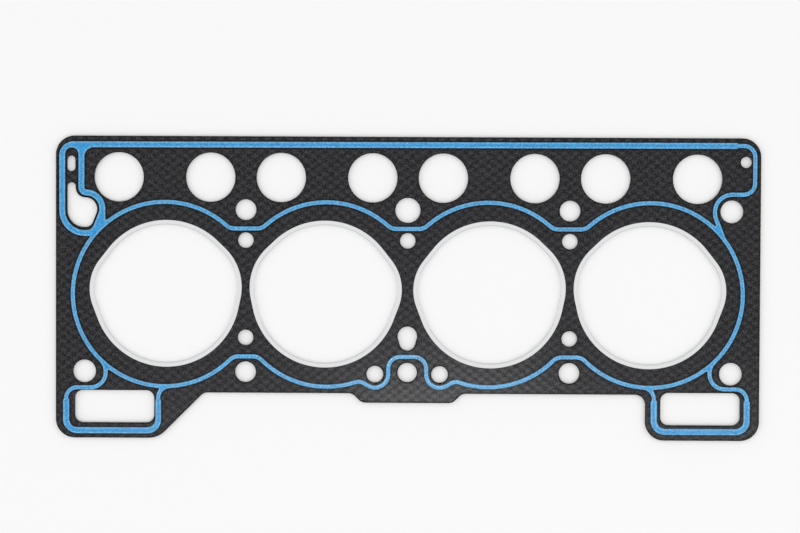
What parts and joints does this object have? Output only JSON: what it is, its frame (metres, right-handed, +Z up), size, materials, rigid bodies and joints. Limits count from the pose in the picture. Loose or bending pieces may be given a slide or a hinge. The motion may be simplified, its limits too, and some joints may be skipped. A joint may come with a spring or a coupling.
{
  "type": "cylinder head gasket",
  "caption": "Flat composite head gasket for an inline pushrod engine, with folded steel fire rings, bolt, tappet, oil and coolant openings and a blue printed sealing bead.",
  "frame": {"origin": "centre of the bounding box on the surface that the gasket lies on, at the fire rings' lower flanges", "axes": "+X along the engine, +Y towards the tappet side, +Z up out of the head side"},
  "size_m": [0.374, 0.1606, 0.0018],
  "materials": {
    "graphite_facing": "matt dark grey graphite sheet with a fine regular dimple lattice",
    "core_steel": "perforated mild steel sheet, seen only at cut edges",
    "silicone_print": "satin light blue silicone print",
    "stainless_sheet": "bright thin stainless sheet, satin"
  },
  "bodies": {
    "root": {"lower_bead": "silicone_print", "lower_facing": "graphite_facing", "steel_core": "core_steel", "upper_facing": "graphite_facing", "upper_bead": "silicone_print", "fire_ring_1": "stainless_sheet", "fire_ring_2": "stainless_sheet", "fire_ring_3": "stainless_sheet", "fire_ring_4": "stainless_sheet"}
  },
  "joints": []
}
